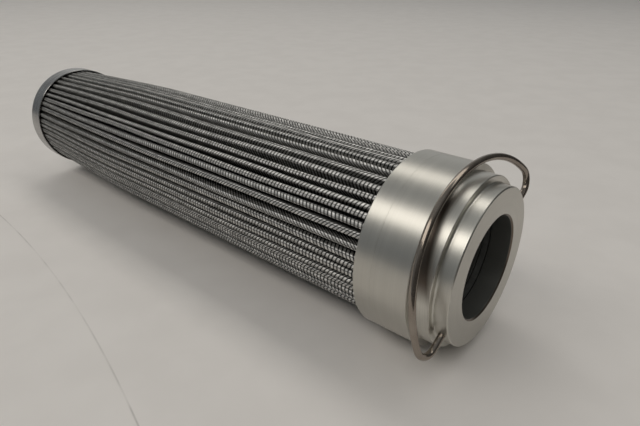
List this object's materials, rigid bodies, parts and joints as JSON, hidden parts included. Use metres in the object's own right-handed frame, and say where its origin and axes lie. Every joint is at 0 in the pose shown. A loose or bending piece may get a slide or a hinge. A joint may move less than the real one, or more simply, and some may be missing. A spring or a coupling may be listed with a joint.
{
  "type": "pleated filter element",
  "caption": "Hydraulic filter element: pleated wire-cloth pack on a perforated tube, stepped open end cap with spigot bore and wire bail, plain closed end cap.",
  "frame": {"origin": "centre of the closed end's outer face", "axes": "+Z along the element towards the open end; the bail turns about an axis parallel to X; the folded bail lies over the +Y side"},
  "size_m": [0.0936, 0.0804, 0.327],
  "materials": {
    "turned_aluminium": "satin turned, fine circular tool marks",
    "cap_aluminium": "plain pressed sheet",
    "bail_steel": "bright drawn stainless wire",
    "wire_cloth": "woven stainless wire, dull",
    "tube_steel": "galvanised perforated sheet",
    "glass_fibre": "matte white fibre mat",
    "seal_rubber": "black nitrile rubber",
    "adhesive": "cured epoxy, dark grey"
  },
  "bodies": {
    "element": {"open_end_cap": "turned_aluminium", "bore_seal": "seal_rubber", "support_tube": "tube_steel", "closed_end_cap": "cap_aluminium", "open_end_adhesive": "adhesive", "closed_end_adhesive": "adhesive", "outer_wire_mesh": "wire_cloth", "filter_media": "glass_fibre", "inner_wire_mesh": "wire_cloth"},
    "bail": {"bail_handle": "bail_steel"}
  },
  "joints": [
    {"name": "bail_hinge", "type": "hinge", "parent": "element", "child": "bail", "pos_m": [0, 0, 0.3238], "axis": [1, 0, 0], "range_deg": [0, 206]}
  ]
}
